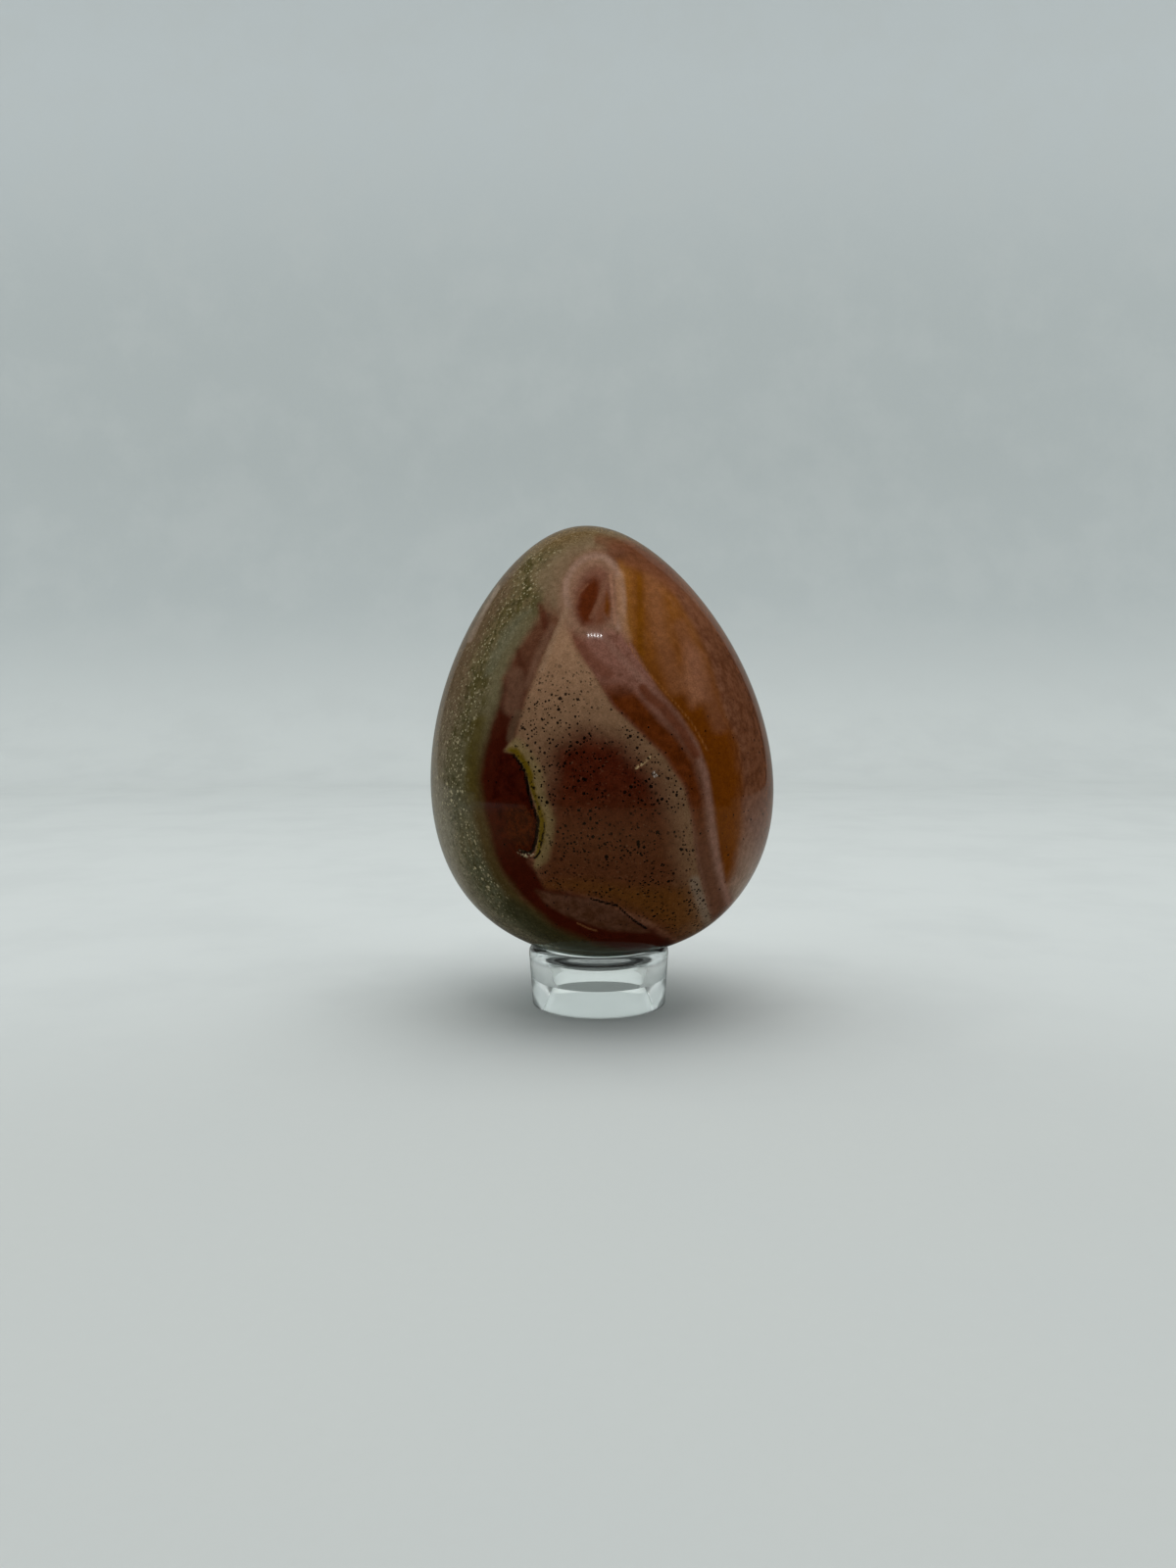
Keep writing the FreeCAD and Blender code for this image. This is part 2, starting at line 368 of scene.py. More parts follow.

# Its colours: on the floor near and far, low and high on the backdrop, and in fibres and clouds. The
# darker near floor and the greyer backdrop are painted shade on one pale paper.
PAPER_NEAR = (0.585, 0.60, 0.585, 1)
PAPER_FAR = (0.66, 0.68, 0.67, 1)
PAPER_LOW = (0.50, 0.53, 0.53, 1)
PAPER_HIGH = (0.59, 0.62, 0.63, 1)
PAPER_FIBRE = (0.72, 0.74, 0.73, 1)
PAPER_CLOUD = (0.58, 0.60, 0.595, 1)
FIBRE_NOISE = (1.5, 4, 0.6)
FIBRE_COVER = 0.1
PAPER_CLOUD_NOISE = (40, 4, 0.6)
PAPER_CLOUD_SPREAD = (0.4, 0.7)
PAPER_CLOUD_COVER = 0.35

# Its colours as the stone and the ring mirror them
MIRROR_DARK = (0.02, 0.015, 0.01, 1)
MIRROR_WARM = (0.44, 0.29, 0.15, 1)
MIRROR_LEFT = (0.56, 0.53, 0.48, 1)
MIRROR_BACK = (0.27, 0.26, 0.24, 1)

# Where those colours come in, from none to full, in metres from the ring or above the floor
FAR_DISTANCES = (-0.09, 0.03)
LOW_HEIGHTS = (0.0, 0.13)
HIGH_HEIGHTS = (0.30, 0.5)
WARM_DISTANCES = (0.05, 0.12)
LEFT_DISTANCES = (-0.16, -0.30)
DARK_DISTANCES = (0.29, 0.32)
FRONT_DISTANCES = (0.0, -0.03)
BACK_DISTANCES = (0.0, 0.06)

# The clear acrylic. Its walls glow faintly between the foot and the top, painted light that stands in
# for light scattered in the acrylic; the glow ends over these heights in metres.
ACRYLIC_CLEAR = (0.985, 0.995, 0.985, 1)
ACRYLIC_MIRRORED = (0.14, 0.2, 0.17, 1)
ACRYLIC_TRANSMISSION = 0.95
ACRYLIC_IOR = 1.49
WALL_GLOW = (0.040, 0.046, 0.045, 1)
WALL_GLOW_TOP = (0.0085, 0.0075)
WALL_GLOW_FOOT = (0.0001, 0.0004)
HANDLING_NOISE = (2.4, 5, 0.7)
HANDLING_SPREAD = (0.55, 0.8)
HANDLING_ROUGHNESS = 0.04

# The room, and the dark figure of a person behind the camera
BLACK = (0, 0, 0, 1)
ROOM_LIGHT = (0.9, 0.96, 0.96, 1)
ROOM_MIRRORED = (0.02, 0.02, 0.02, 1)
ROOM_SEEN = (0.42, 0.47, 0.46, 1)
WATCHER_HALF_WIDTH = 420
WATCHER_HEIGHT = 900
WATCHER_COLOUR = (0.02, 0.02, 0.02, 1)

# Places of the Mix node's colours among its sockets
MIX_BELOW = 6
MIX_ABOVE = 7
MIX_RESULT = 2


def srgb_to_linear(level):
    """One channel of a screen colour, 0 to 255, as linear light."""
    share = level / 255
    if share <= 0.04045:
        return share / 12.92
    return ((share + 0.055) / 1.055) ** 2.4


def stone(red, green, blue):
    """Linear colour that shows as about this screen colour on the lit stone."""
    channels = [min(BRIGHTEST, srgb_to_linear(level) / STONE_LIGHT) for level in (red, green, blue)]
    return (*channels, 1.0)


def tone(name):
    """Linear colour of one of the stone's tones."""
    return stone(*TONES[name][:3])


def view_axes():
    """The camera's place, and its forward and upward directions."""
    forward = np.array([0, math.cos(CAMERA_PITCH), -math.sin(CAMERA_PITCH)])
    upward = np.array([0, math.sin(CAMERA_PITCH), math.cos(CAMERA_PITCH)])
    return np.array(CAMERA_PLACE), forward, upward


def to_pixels(points):
    """The photograph's pixel that each point in millimetres falls on."""
    place, forward, upward = view_axes()
    offset = points - place
    depth = offset @ forward
    across = offset[:, 0] / depth
    above = (offset @ upward) / depth
    cosine, sine = math.cos(CAMERA_ROLL), math.sin(CAMERA_ROLL)
    x = PHOTO_SIZE[0] / 2 + FOCAL_PIXELS * (cosine * across - sine * above)
    y = PHOTO_SIZE[1] / 2 - FOCAL_PIXELS * (sine * across + cosine * above)
    return np.stack([x, y], axis=1)


def distance_to_line(pixels, line):
    """Distance in millimetres from each pixel to an open line."""
    nearest = np.full(len(pixels), 1e9)
    for start, end in zip(line, line[1:]):
        start, step = np.array(start, float), np.subtract(end, start).astype(float)
        along = np.clip((pixels - start) @ step / (step @ step), 0, 1)
        gap = pixels - start - along[:, None] * step
        nearest = np.minimum(nearest, np.hypot(gap[:, 0], gap[:, 1]))
    return nearest / PIXELS_PER_MM


def depth_inside(pixels, outline):
    """Distance in millimetres to a closed outline, positive inside it."""
    closed = outline + outline[:1]
    inside = np.zeros(len(pixels), bool)
    for (x0, y0), (x1, y1) in zip(closed, closed[1:]):
        if y0 != y1:
            crosses = (pixels[:, 1] < y0) != (pixels[:, 1] < y1)
            at = x0 + (pixels[:, 1] - y0) * (x1 - x0) / (y1 - y0)
            inside ^= crosses & (pixels[:, 0] < at)
    return np.where(inside, 1, -1) * distance_to_line(pixels, closed)


def link(name, mesh, material):
    """A new object of this mesh and material in the scene."""
    piece = bpy.data.objects.new(name, mesh)
    bpy.context.scene.collection.objects.link(piece)
    mesh.materials.append(material)
    return piece


def mesh_of(name, points, faces):
    """A smooth-shaded mesh from points in millimetres."""
    mesh = bpy.data.meshes.new(name)
    mesh.from_pydata((np.asarray(points) * MM).tolist(), [], faces)
    mesh.polygons.foreach_set("use_smooth", [True] * len(mesh.polygons))
    mesh.update()
    return mesh


def egg_share(along):
    """The egg's radius before scaling, at a share of its axis from -1, the blunt tip, to 1."""
    first, second, third, fourth = EGG_TAPER
    taper = 1 + first * along + second * along**2 + third * along**3 + fourth * along**4
    return np.sqrt(np.maximum(0, 1 - along**2) / taper)


def egg_points():
    """Points of the egg, row by row from the blunt tip up, as it leans and sits in the CAD model."""
    along = -np.cos(np.pi * np.arange(EGG_ROWS + 1) / EGG_ROWS)
    share = egg_share(along)
    radius = EGG_WIDTH / 2 * share / share.max()
    turn = 2 * np.pi * np.arange(EGG_COLUMNS) / EGG_COLUMNS
    x = np.outer(radius, np.cos(turn)).ravel()
    y = np.outer(radius, np.sin(turn)).ravel()
    z = np.repeat(EGG_LENGTH / 2 * along, EGG_COLUMNS)
    keep = slice(EGG_COLUMNS - 1, 1 - EGG_COLUMNS)
    x, y, z = x[keep], y[keep], z[keep]
    cosine, sine = math.cos(EGG_LEAN), math.sin(EGG_LEAN)
    points = np.stack([x * cosine - z * sine, y, x * sine + z * cosine], axis=1)
    lowest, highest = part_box("stone_egg")
    middle = (np.array(lowest) + np.array(highest)) / 2 / MM
    return points + middle - (points.min(axis=0) + points.max(axis=0)) / 2


def egg_faces():
    """Faces over the egg's points: a fan at each tip and squares between."""
    faces = []
    last = (EGG_ROWS - 1) * EGG_COLUMNS + 1
    for column in range(EGG_COLUMNS):
        after = (column + 1) % EGG_COLUMNS
        faces.append((0, 1 + after, 1 + column))
        for row in range(EGG_ROWS - 2):
            low = 1 + row * EGG_COLUMNS
            high = low + EGG_COLUMNS
            faces.append((low + column, low + after, high + after, high + column))
        top = last - EGG_COLUMNS
        faces.append((top + column, top + after, last))
    return faces


def outward(mesh):
    """Each vertex's outward direction."""
    normals = np.zeros(len(mesh.vertices) * 3, np.float32)
    mesh.vertices.foreach_get("normal", normals)
    return normals.reshape(-1, 3).astype(float)


def back_drift(points, facing):
    """Pixels by which the figure drifts on the unseen back, so that it is no mirror image."""
    drift = np.zeros((len(points), 2))
    for index in np.nonzero(facing < 0)[0]:
        spot = Vector(points[index]) / BACK_DRIFT_SIZE
        drift[index] = noise.noise(spot), noise.noise(spot + BACK_DRIFT_SHIFT)
    return drift * BACK_DRIFT * np.clip(-facing, 0, 1)[:, None]


def stone_fields(points, normals):
    """What places the figure, by name: distances in millimetres, facing and photograph's row."""
    toward = np.array(CAMERA_PLACE) - points
    facing = (toward * normals).sum(axis=1) / np.linalg.norm(toward, axis=1)
    pixels = to_pixels(points) + back_drift(points, facing)
    fields = {name: depth_inside(pixels, outline) for name, (outline, *edge) in REGIONS.items()}
    for name, (line, *rest) in (LINES | STROKES).items():
        fields[name] = distance_to_line(pixels, line)
    fields["facing"] = facing
    fields["level"] = pixels[:, 1]
    return fields


class Nodes:
    """Builds the nodes of a material or of the world, from sockets or plain values."""

    def __init__(self, owner):
        owner.use_nodes = True
        self.tree = owner.node_tree

    def feed(self, socket, value):
        """Links a socket to another, or sets its value."""
        if isinstance(value, bpy.types.NodeSocket):
            self.tree.links.new(value, socket)
        else:
            socket.default_value = value

    def field(self, name):
        """The value that the mesh stores under this name."""
        node = self.tree.nodes.new("ShaderNodeAttribute")
        node.attribute_name = name
        return node.outputs["Fac"]

    def place(self, stretch=(1, 1, 1), tilt=0):
        """The piece's own coordinates in metres, stretched and turned about Y."""
        source = self.tree.nodes.new("ShaderNodeTexCoord")
        mapping = self.tree.nodes.new("ShaderNodeMapping")
        mapping.inputs["Scale"].default_value = stretch
        mapping.inputs["Rotation"].default_value = (0, tilt, 0)
        self.tree.links.new(source.outputs["Object"], mapping.inputs["Vector"])
        return mapping.outputs["Vector"]

    def noise(self, size, detail, rough, twist=0.0, at=None):
        """Smooth noise from 0 to 1 whose marks are about this many millimetres across."""
        node = self.tree.nodes.new("ShaderNodeTexNoise")
        self.feed(node.inputs["Vector"], at or self.place())
        node.inputs["Scale"].default_value = 1 / (size * MM)
        node.inputs["Detail"].default_value = detail
        node.inputs["Roughness"].default_value = rough
        node.inputs["Distortion"].default_value = twist
        return node.outputs["Fac"]

    def cells(self, size):
        """Distance to scattered points about this many millimetres apart, and a value for each."""
        node = self.tree.nodes.new("ShaderNodeTexVoronoi")
        self.feed(node.inputs["Vector"], self.place())
        node.inputs["Scale"].default_value = 1 / (size * MM)
        return node.outputs["Distance"], node.outputs["Color"]

    def axes(self):
        """The piece's own coordinates in metres, one by one."""
        split = self.tree.nodes.new("ShaderNodeSeparateXYZ")
        self.feed(split.inputs[0], self.place())
        return split.outputs

    def mirrored(self):
        """1 for what a surface mirrors before the light passes anything clear, or else 0."""
        path = self.tree.nodes.new("ShaderNodeLightPath")
        glossy, passed = path.outputs["Is Glossy Ray"], path.outputs["Transmission Depth"]
        return self.step(self.calc("SUBTRACT", glossy, passed), 0.0, 1.0)

    def calc(self, operation, first, second=0.0):
        """One sum on numbers."""
        node = self.tree.nodes.new("ShaderNodeMath")
        node.operation = operation
        self.feed(node.inputs[0], first)
        self.feed(node.inputs[1], second)
        return node.outputs[0]

    def step(self, value, low, high):
        """0 up to low, 1 from high on, and smooth between. Low may be above high."""
        node = self.tree.nodes.new("ShaderNodeMapRange")
        node.interpolation_type = "SMOOTHSTEP"
        flip = low > high
        self.feed(node.inputs["Value"], value)
        node.inputs["From Min"].default_value = min(low, high)
        node.inputs["From Max"].default_value = max(low, high)
        node.inputs["To Min"].default_value = 1.0 if flip else 0.0
        node.inputs["To Max"].default_value = 0.0 if flip else 1.0
        return node.outputs["Result"]

    def both(self, first, second):
        """The product of two shares."""
        return self.calc("MULTIPLY", first, second)

    def mix(self, below, above, share, blend="MIX"):
        """Colour above laid over colour below by a share."""
        node = self.tree.nodes.new("ShaderNodeMix")
        node.data_type = "RGBA"
        node.blend_type = blend
        self.feed(node.inputs["Factor"], share)
        self.feed(node.inputs[MIX_BELOW], below)
        self.feed(node.inputs[MIX_ABOVE], above)
        return node.outputs[MIX_RESULT]

    def tint(self, colour, shade):
        """One colour multiplied by another."""
        return self.mix(colour, shade, 1.0, "MULTIPLY")


class Material(Nodes):
    """A new material's nodes."""

    def __init__(self, name):
        self.material = bpy.data.materials.new(name)
        super().__init__(self.material)
        self.shader = self.tree.nodes["Principled BSDF"]


class Stone(Material):
    """The egg's material: regions laid one over the other, each with its own tones."""

    def __init__(self):
        super().__init__("polished_stone_figure")
        self.textures = {}
        self.waver = self.uneven("waver")
        self.fray = self.uneven("fray")
        self.front = self.step(self.field("facing"), *FRONT_FACING)
        self.level = self.field("level")

    def texture(self, name):
        """One of the stone's noises, made when it is first needed."""
        if name not in self.textures:
            place = self.place(*NOISE_TURNS.get(name, ()))
            self.textures[name] = self.noise(*NOISES[name], at=place)
        return self.textures[name]

    def uneven(self, name):
        """One of the noises, about zero."""
        return self.calc("SUBTRACT", self.texture(name), 0.5)

    def spread(self, name):
        """Share that shows in a noise."""
        source, low, high = SPREADS[name]
        return self.step(self.texture(source), low, high)

    def rows(self, name):
        """Share that comes in over some rows of the photograph."""
        return self.step(self.level, *ROWS[name])

    def region(self, name, edge=None):
        """Share inside an outline, with a soft and uneven edge."""
        softness, waver = edge or REGIONS[name][1:]
        drift = self.calc("ADD", self.both(self.waver, waver), self.both(self.fray, REGION_FRAY))
        return self.step(self.calc("ADD", self.field(name), drift), -softness, softness)

    def along(self, name, width, softness, fray=LINE_FRAY):
        """Share on a line, full up to its half width."""
        value = self.calc("ADD", self.field(name), self.both(self.fray, fray))
        return self.step(value, width + softness, width)

    def mark(self, name):
        """Share of a mark along a line."""
        mark = OTHER_MARKS.get(name) or (name, *LINES[name][1:])
        return self.along(*mark)

    def beside(self, name):
        """Share of a band beside a line or an outline."""
        source, start, end, waver = BESIDE[name]
        value = self.calc("ADD", self.field(source), self.both(self.waver, waver))
        return self.step(value, start, end)

    def pits(self, name):
        """Scattered small holes."""
        size, widest, share = PITS[name]
        gap, seed = self.cells(size)
        chance = self.tree.nodes.new("ShaderNodeSeparateColor")
        self.tree.links.new(seed, chance.inputs[0])
        widest_share = widest / size / (1 + PIT_LEAST)
        reach = self.both(self.calc("ADD", chance.outputs[0], PIT_LEAST), widest_share)
        ragged = self.both(self.uneven("fine"), PIT_RAGGED)
        depth = self.calc("SUBTRACT", self.calc("ADD", gap, ragged), reach)
        start = 1 - share
        chosen = self.step(chance.outputs[1], start, start + PIT_CHANCE_EDGE)
        return self.both(self.step(depth, PIT_EDGE, 0.0), chosen)

    def most(self, *shares):
        """The largest of some shares."""
        share = shares[0]
        for other in shares[1:]:
            share = self.calc("MAXIMUM", share, other)
        return share

    def tones(self, dark, light, name):
        """Two tones, mixed by a noise."""
        return self.mix(tone(dark), tone(light), self.spread(name))

    def down(self, upper, lower):
        """A tone that turns into another over the lower one's rows of the photograph."""
        return self.mix(tone(upper), tone(lower), self.rows(lower))

    def lay(self, below, above, *shares):
        """Colour above over colour below, by the product of some shares."""
        share = shares[0]
        for other in shares[1:]:
            share = self.both(share, other)
        return self.mix(below, above, share)

    def paint(self, below, name, *shares):
        """A tone over a colour, by the product of some shares and of what the tone covers."""
        return self.lay(below, tone(name), *shares, *TONES[name][3:])

    def strokes(self, colour, *names):
        """Thin marks laid over a colour, on the side that the photograph shows."""
        for name in names:
            line, width, softness, paint, cover = STROKES[name]
            mark = self.along(name, width, softness, STROKE_FRAY)
            colour = self.lay(colour, stone(*paint), mark, self.front, cover)
        return colour


def red_layer(s):
    """The layer between the rind and the pocket: mauve-brown above, deep red below."""
    red = s.down("red_top", "red_foot")
    red = s.paint(red, "red_smoke", s.spread("red_smoke"), s.rows("red_smoke"))
    return s.paint(red, "red_deep", s.spread("red_deep"))


def amber_layer(s):
    """Amber to the right of the ridge, silky and paler above."""
    amber = s.down("amber_top", "amber_foot")
    amber = s.paint(amber, "amber_silk", s.spread("amber_silk"), s.rows("amber_silk"))
    amber = s.paint(amber, "amber_shade", s.spread("amber_shade"))
    amber = s.paint(amber, "amber_deep", s.region("amber_deep"))
    amber = s.paint(amber, "amber_rose", s.region("amber_rose"))
    for name in ("amber_gold", "amber_pale", "amber_mauve", "amber_line"):
        amber = s.paint(amber, name, s.mark(name))
    return s.paint(amber, "amber_speck", s.spread("amber_speck"))


def rind_layer(s):
    """Grey-green rind on the left, with crystal grains, and mauve towards the side."""
    rind = s.down("rind_top", "rind_foot")
    rind = s.paint(rind, "rind_moss", s.spread("rind_moss"))
    rind = s.paint(rind, "rind_sand", s.spread("rind_sand"))
    rind = s.paint(rind, "rind_patch", s.spread("rind_patch"), s.rows("rind_patch"))
    rind = s.lay(rind, s.down("mauve_top", "mauve_foot"), s.beside("mauve"), MAUVE_COVER)
    # Painted sheen: a pale tone near the left edge, lower down, where the stone turns away from the
    # camera.
    side = s.both(s.step(s.field("facing"), *EDGE_SHEEN_FACING), s.rows("rind_edge_sheen"))
    rind = s.paint(rind, "rind_edge_sheen", side, s.front)
    grains = s.beside("grains")
    rind = s.paint(rind, "rind_dark", s.spread("rind_dark"), grains)
    crystals = s.most(s.pits("small_crystals"), s.pits("crystals"))
    rind = s.paint(rind, "crystal", crystals, grains)
    rind = s.paint(rind, "crystal_dull", crystals)
    rind = s.paint(rind, "rind_fleck", s.spread("rind_fleck"))
    strip = s.down("strip_top", "strip_foot")
    rind = s.lay(rind, strip, s.beside("strip"), s.rows("strip"), STRIP_COVER)
    rind = s.paint(rind, "blue_patch", s.region("blue_patch"))
    # The green strip's darkness along the foot is partly painted shade.
    for name in ("pale_streak", "olive_line", "green_strip"):
        rind = s.paint(rind, name, s.mark(name))
    return rind


def pocket_layer(s):
    """Tan pocket, darker towards its foot partly in painted shade, with a dark centre that goes
    orange-brown at its foot.
    """
    tan = s.paint(s.down("tan_top", "tan_foot"), "tan_shade", s.spread("tan_shade"))
    centre = s.tones("centre_dark", "centre_red", "mottle")
    centre = s.paint(centre, "centre_foot", s.rows("centre_foot"))
    pocket = s.lay(tan, centre, s.region("deep_pocket"))
    pocket = s.paint(pocket, "low_orange", s.region("low_orange"))
    pocket = s.strokes(pocket, "low_grey")
    return s.paint(pocket, "tan_grain", s.spread("tan_grain"))


def ridge_layer(s, colour):
    """The mauve ridge, with an orange-brown band inside it."""
    ridge = s.down("ridge_top", "ridge_foot")
    ridge = s.paint(ridge, "ridge_shade", s.spread("ridge_shade"))
    ridge = s.paint(ridge, "ridge_low", s.rows("ridge_low"))
    ridge = s.paint(ridge, "ridge_light", s.mark("ridge_light"))
    colour = s.lay(colour, ridge, s.region("ridge"))
    colour = s.strokes(colour, "ridge_fold", "ridge_dark")
    band = s.tones("band_dark", "band_light", "mottle")
    band = s.paint(band, "band_foot", s.rows("band_foot"))
    colour = s.lay(colour, band, s.region("band"), s.rows("band"))
    return s.paint(colour, "amber_seam", s.mark("amber_seam"), s.front)


def hook_figure(s, colour):
    """The pale-rimmed hook under the crown, with its grey shoulder."""
    for name in ("shoulder", "hook"):
        colour = s.paint(colour, name, s.region(name), s.front)
    colour = s.strokes(colour, "hook_glow", "red_tip", "red_pale", "red_neck",
                       "red_haze", "red_low_pale", "pocket_lip", "crown_arc", "crown_low")
    for name in ("hook_core", "hook_dark", "hook_tongue", "hook_sliver"):
        colour = s.paint(colour, name, s.region(name), s.front)
    return s.strokes(colour, "hook_whisker", "hook_hair", "amber_edge", "hook_pink")


def hollow_figure(s, colour):
    """The oval hollow on the left, with its olive rim and pale halo."""
    right = s.region("pocket", POCKET_BY_HOLLOW)
    colour = s.paint(colour, "halo", s.beside("halo"), right, s.front)
    colour = s.paint(colour, "hollow_rim", s.mark("hollow_rim"), right, s.front)
    hollow = s.tones("hollow_dark", "hollow_red", "hollow")
    floor = s.tones("floor_dark", "floor_light", "floor")
    hollow = s.lay(hollow, floor, s.region("vug_floor"))
    return s.lay(colour, hollow, s.region("vug"), s.front)


def sparks(s, colour):
    """Pale crystal specks in the hollow, and a pale streak and spot."""
    for name in ("hollow_crystal", "spark_streak", "spark_spot"):
        colour = s.paint(colour, name, s.mark(name), s.spread(name), s.front)
    return colour


def rim_layer(s):
    """The brown rim on the right, greyer and paler towards its foot, partly a painted reflection of
    the pale floor.
    """
    rim = s.tones("rim_dark", "rim_light", "mottle")
    # The pale grey low on the rim is partly a painted reflection of the floor.
    for name in ("rim_top", "rim_low", "rim_foot"):
        rim = s.paint(rim, name, s.rows(name))
    return rim


def stone_figure(s):
    """All the regions of the stone, one over the other."""
    colour = s.tones("body_dark", "body_light", "mottle")
    colour = s.lay(colour, red_layer(s), s.region("red"))
    colour = s.lay(colour, amber_layer(s), s.region("amber"))
    colour = s.lay(colour, rim_layer(s), s.region("rim_right"))
    colour = s.paint(colour, "crown_red", s.region("crown_red"))
    colour = s.strokes(colour, "rim_fold")
    colour = s.lay(colour, rind_layer(s), s.region("rind"))
    crown = s.tones("crown_dark", "crown_light", "grain")
    crown = s.paint(crown, "crown_crystal", s.pits("crown_crystals"))
    colour = s.lay(colour, crown, s.region("crown"))
    colour = s.lay(colour, pocket_layer(s), s.region("pocket"))
    colour = ridge_layer(s, colour)
    colour = hook_figure(s, colour)
    colour = hollow_figure(s, colour)
    lens = s.tones("lens_dark", "lens_light", "mottle")
    colour = s.lay(colour, lens, s.region("lens"), s.front, LENS_COVER)
    colour = s.paint(colour, "lens_line", s.mark("lens_line"), s.front)
    colour = sparks(s, colour)
    colour = s.tint(colour, s.mix(SHADE_DARK, SHADE_LIGHT, s.spread("shade")))
    return s.tint(colour, s.mix(CLOUD_DARK, CLOUD_LIGHT, s.spread("cloud")))


def open_pits(s):
    """The pits that crowd in the pocket, and stray ones around it."""
    crowded = s.both(s.both(s.spread("crowd"), s.region("pocket", POCKET_PITTED)), s.rows("pits"))
    pits = s.both(s.most(s.pits("small_pits"), s.pits("pits")), crowded)
    strays = s.both(s.both(s.pits("stray_pits"), s.beside("off_rind")), s.rows("stray_pits"))
    return s.most(pits, strays)


def open_cracks(s):
    """The cracks round the hollow and low on the front."""
    cracks = s.most(s.mark("crack"), s.mark("crack_outer"), s.mark("low_crack"))
    return s.both(cracks, s.front)


def stone_material():
    """Polished figured stone, with painted shade that darkens its pits and cracks."""
    s = Stone()
    cracks = open_cracks(s)
    # Painted shade: the pits and cracks are painted nearly black.
    colour = s.paint(stone_figure(s), "hole_shade", s.most(open_pits(s), cracks))
    bump = s.tree.nodes.new("ShaderNodeBump")
    bump.inputs["Strength"].default_value = CRACK_BUMP
    bump.inputs["Distance"].default_value = CRACK_BUMP_DEPTH * MM
    bump.invert = True
    s.feed(bump.inputs["Height"], cracks)
    s.feed(s.shader.inputs["Normal"], bump.outputs["Normal"])
    s.feed(s.shader.inputs["Base Color"], colour)
    s.shader.inputs["Roughness"].default_value = STONE_ROUGHNESS
    s.shader.inputs["IOR"].default_value = STONE_IOR
    return s.material


def relief(points, fields):
    """Height in millimetres that each point stands out by."""
    front = np.clip(fields["facing"] * GROOVE_FADE, 0, 1)
    groove = np.clip(1 - fields["crack"] / GROOVE_REACH, 0, 1) ** 2 * front
    away = np.linalg.norm(points - np.array(BULGE_PLACE), axis=1) / BULGE_RADIUS
    bulge = np.exp(-away**2)
    return BULGE_HEIGHT * bulge - GROOVE_DEPTH * groove


def stone_egg():
    """The egg, with its figure stored on its points."""
    points = egg_points()
    mesh = mesh_of("figured_stone_egg", points, egg_faces())
    normals = outward(mesh)
    fields = stone_fields(points, normals)
    raised = points + normals * relief(points, fields)[:, None]
    mesh.vertices.foreach_set("co", (raised * MM).ravel())
    mesh.update()
    for name, values in fields.items():
        attribute = mesh.attributes.new(name, "FLOAT", "POINT")
        attribute.data.foreach_set("value", values.astype(np.float32))
    egg = link("figured_stone_egg", mesh, stone_material())
    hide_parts("stone_egg")
    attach(egg, "egg")


def eased_section():
    """The ring's half section with some of its corners rounded off.

    A point just beyond each end of a rounding keeps the flat walls flat in the shading.
    """
    count = len(RING_SECTION)
    section = []
    for index, corner in enumerate(RING_SECTION):
        if index not in RING_EASINGS:
            section.append(corner)
            continue
        corner, easing = Vector(corner), RING_EASINGS[index]
        before = (Vector(RING_SECTION[index - 1]) - corner).normalized()
        after = (Vector(RING_SECTION[(index + 1) % count]) - corner).normalized()
        half = before.angle(after) / 2
        centre = corner + (before + after).normalized() * easing / math.sin(half)
        reach = easing / math.tan(half)
        start, end = corner + before * reach - centre, corner + after * reach - centre
        section.append(tuple(corner + before * (reach + RING_GUARD)))
        for step in range(RING_EASE_STEPS + 1):
            spoke = start.slerp(end, step / RING_EASE_STEPS).normalized()
            section.append(tuple(centre + spoke * easing))
        section.append(tuple(corner + after * (reach + RING_GUARD)))
    return section


def ring_stand():
    """The clear ring, finer than the CAD mesh, so that it bends light smoothly."""
    section = eased_section()
    count = len(section)
    points = []
    faces = []
    for column in range(RING_COLUMNS):
        turn = 2 * math.pi * column / RING_COLUMNS
        points += [(radius * math.cos(turn), radius * math.sin(turn), height)
                   for radius, height in section]
        here, there = column * count, (column + 1) % RING_COLUMNS * count
        for index in range(count):
            after = (index + 1) % count
            faces.append((here + index, there + index, there + after, here + after))
    mesh = mesh_of("clear_ring_stand", points, faces)
    mesh.set_sharp_from_angle(angle=RING_SHARP_ANGLE)
    ring = link("clear_ring_stand", mesh, acrylic_material())
    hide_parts("ring_stand")
    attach(ring, "stand")


def acrylic_material():
    """Clear polished acrylic with a faint haze of handling marks, and a faint painted glow in its
    walls.
    """
    a = Material("clear_acrylic_polished")
    mirrored = a.mirrored()
    a.feed(a.shader.inputs["Base Color"], a.mix(ACRYLIC_CLEAR, ACRYLIC_MIRRORED, mirrored))
    a.shader.inputs["Transmission Weight"].default_value = ACRYLIC_TRANSMISSION
    a.shader.inputs["IOR"].default_value = ACRYLIC_IOR
    height = a.axes()["Z"]
    # Painted light: the walls glow faintly between foot and top, except where the ring is mirrored.
    walls = a.both(a.step(height, *WALL_GLOW_TOP), a.step(height, *WALL_GLOW_FOOT))
    wall_glow = a.mix(a.mix(BLACK, WALL_GLOW, walls), BLACK, mirrored)
    a.feed(a.shader.inputs["Emission Color"], wall_glow)
    a.shader.inputs["Emission Strength"].default_value = 1.0
    marks = a.step(a.noise(*HANDLING_NOISE), *HANDLING_SPREAD)
    a.feed(a.shader.inputs["Roughness"], a.both(marks, HANDLING_ROUGHNESS))
    return a.material


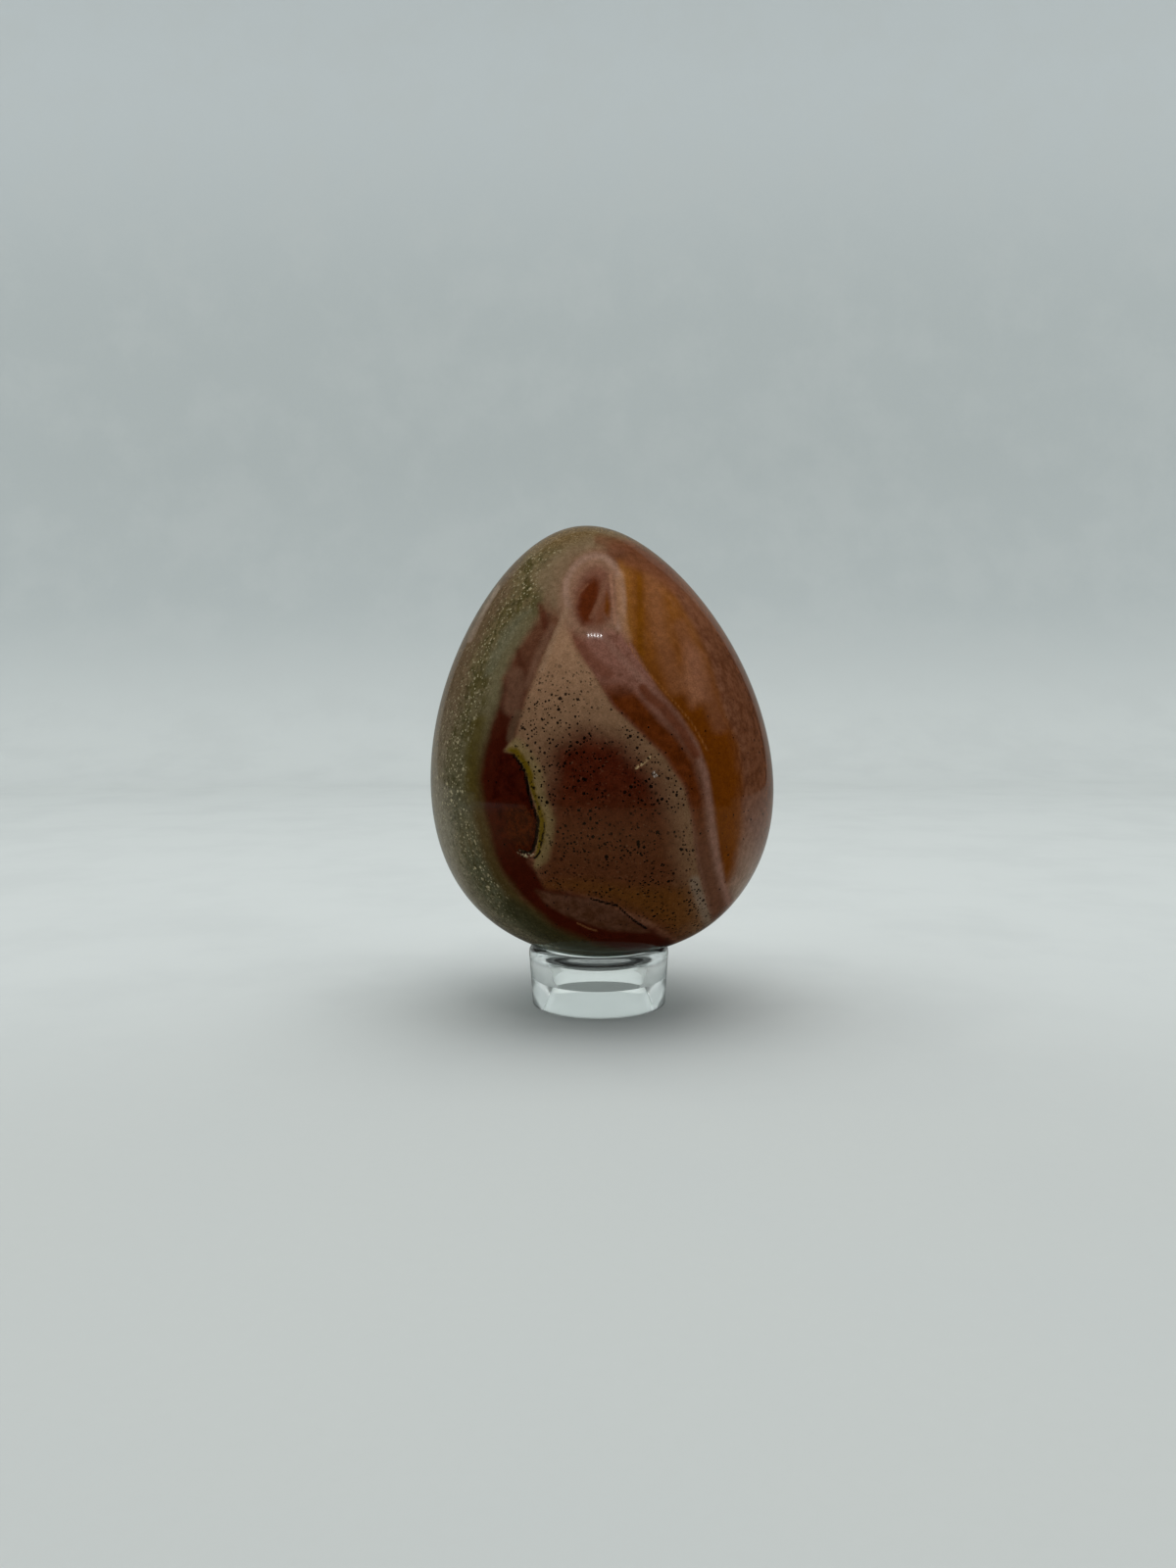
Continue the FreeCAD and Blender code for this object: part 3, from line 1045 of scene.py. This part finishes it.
def paper_seen(p, y, z):
    """The paper as seen: a little uneven, with painted shade that leaves it paler towards the back
    and greyer up the backdrop.
    """
    floor = p.mix(PAPER_NEAR, PAPER_FAR, p.step(y, *FAR_DISTANCES))
    colour = p.mix(floor, PAPER_LOW, p.step(z, *LOW_HEIGHTS))
    colour = p.mix(colour, PAPER_HIGH, p.step(z, *HIGH_HEIGHTS))
    colour = p.mix(colour, PAPER_FIBRE, p.both(p.noise(*FIBRE_NOISE), FIBRE_COVER))
    clouds = p.step(p.noise(*PAPER_CLOUD_NOISE), *PAPER_CLOUD_SPREAD)
    return p.mix(colour, PAPER_CLOUD, p.both(clouds, PAPER_CLOUD_COVER))


def paper_mirrored(p, x, y):
    """What stone and ring mirror of it: warm near the egg, dark in front and grey on the left."""
    flat = p.calc("SQRT", p.calc("ADD", p.both(x, x), p.both(y, y)))
    mirror = p.mix(MIRROR_DARK, MIRROR_WARM, p.step(flat, *WARM_DISTANCES))
    mirror = p.mix(mirror, MIRROR_LEFT, p.step(x, *LEFT_DISTANCES))
    front = p.both(p.step(flat, *DARK_DISTANCES), p.step(y, *FRONT_DISTANCES))
    mirror = p.mix(mirror, MIRROR_DARK, front)
    return p.mix(mirror, MIRROR_BACK, p.step(y, *BACK_DISTANCES))


def paper_material():
    """Pale seamless paper."""
    p = Material("pale_paper")
    x, y, z = p.axes()
    colour = p.mix(paper_seen(p, y, z), paper_mirrored(p, x, y), p.mirrored())
    p.feed(p.shader.inputs["Base Color"], colour)
    p.shader.inputs["Roughness"].default_value = PAPER_ROUGHNESS
    p.shader.inputs["Specular IOR Level"].default_value = PAPER_SHINE
    return p.material


def paper():
    """A floor that sweeps up into the backdrop."""
    line = [(PAPER_FRONT, 0)]
    for step in range(PAPER_STEPS + 1):
        turn = math.pi / 2 * step / PAPER_STEPS
        line.append((PAPER_BACK + PAPER_SWEEP * math.sin(turn), PAPER_SWEEP * (1 - math.cos(turn))))
    line.append((PAPER_BACK + PAPER_SWEEP, PAPER_TOP))
    points = [(side * PAPER_SIDE, y, z) for y, z in line for side in (-1, 1)]
    faces = [(2 * row, 2 * row + 1, 2 * row + 3, 2 * row + 2) for row in range(len(line) - 1)]
    link("paper", mesh_of("paper", points, faces), paper_material())


def hang(name, light, place):
    """Hangs a light at a place in millimetres."""
    holder = bpy.data.objects.new(name, light)
    bpy.context.scene.collection.objects.link(holder)
    holder.location = Vector(place) * MM
    return holder


def overhead_lamp():
    """A soft lamp that faces the egg and isn't mirrored."""
    light = bpy.data.lights.new("overhead", "AREA")
    light.shape = "RECTANGLE"
    light.size, light.size_y = LAMP_SIZE[0] * MM, LAMP_SIZE[1] * MM
    light.energy = LAMP_WATTS
    lamp = hang("overhead", light, LAMP_PLACE)
    lamp.rotation_euler = (-Vector(LAMP_PLACE)).to_track_quat("-Z", "Y").to_euler()
    lamp.visible_glossy = False


def spark_lamps():
    """A row of small lamps that spark on the stone."""
    x, y, z = SPARK_PLACE
    for index in range(SPARKS):
        light = bpy.data.lights.new("spark", "POINT")
        light.energy = SPARK_WATTS
        light.shadow_soft_size = SPARK_RADIUS * MM
        hang("spark", light, (x + (index - (SPARKS - 1) / 2) * SPARK_GAP, y, z))


def world():
    """A dim room, dark where it is mirrored and pale behind everything."""
    room = bpy.data.worlds.new("room")
    bpy.context.scene.world = room
    w = Nodes(room)
    path = w.tree.nodes.new("ShaderNodeLightPath")
    seen = w.calc("MAXIMUM", path.outputs["Is Camera Ray"], path.outputs["Is Transmission Ray"])
    light = w.mix(w.mix(ROOM_LIGHT, ROOM_MIRRORED, w.mirrored()), ROOM_SEEN, seen)
    w.feed(w.tree.nodes["Background"].inputs["Color"], light)


def watcher():
    """The dark figure behind the camera, which only the stone and the light's bounces meet."""
    points = [(x, PAPER_FRONT, z) for x in (-WATCHER_HALF_WIDTH, WATCHER_HALF_WIDTH)
              for z in (0, WATCHER_HEIGHT)]
    cloth = Material("dark_cloth")
    cloth.shader.inputs["Base Color"].default_value = WATCHER_COLOUR
    card = link("watcher", mesh_of("watcher", points, [(0, 2, 3, 1)]), cloth.material)
    card.visible_camera = False
    card.visible_transmission = False


def camera():
    """The photograph's camera."""
    data = bpy.data.cameras.new("camera")
    data.sensor_width = SENSOR_MM
    data.lens = FOCAL_PIXELS * SENSOR_MM / PHOTO_SIZE[1]
    data.clip_start = MM
    holder = bpy.data.objects.new("camera", data)
    bpy.context.scene.collection.objects.link(holder)
    pose = Matrix.Rotation(math.pi / 2 - CAMERA_PITCH, 4, "X") @ Matrix.Rotation(-CAMERA_ROLL, 4, "Z")
    holder.matrix_world = Matrix.Translation(Vector(CAMERA_PLACE) * MM) @ pose
    bpy.context.scene.camera = holder


camera()
stone_egg()
ring_stand()
paper()
overhead_lamp()
spark_lamps()
world()
watcher()
bpy.context.scene.view_settings.view_transform = "Standard"
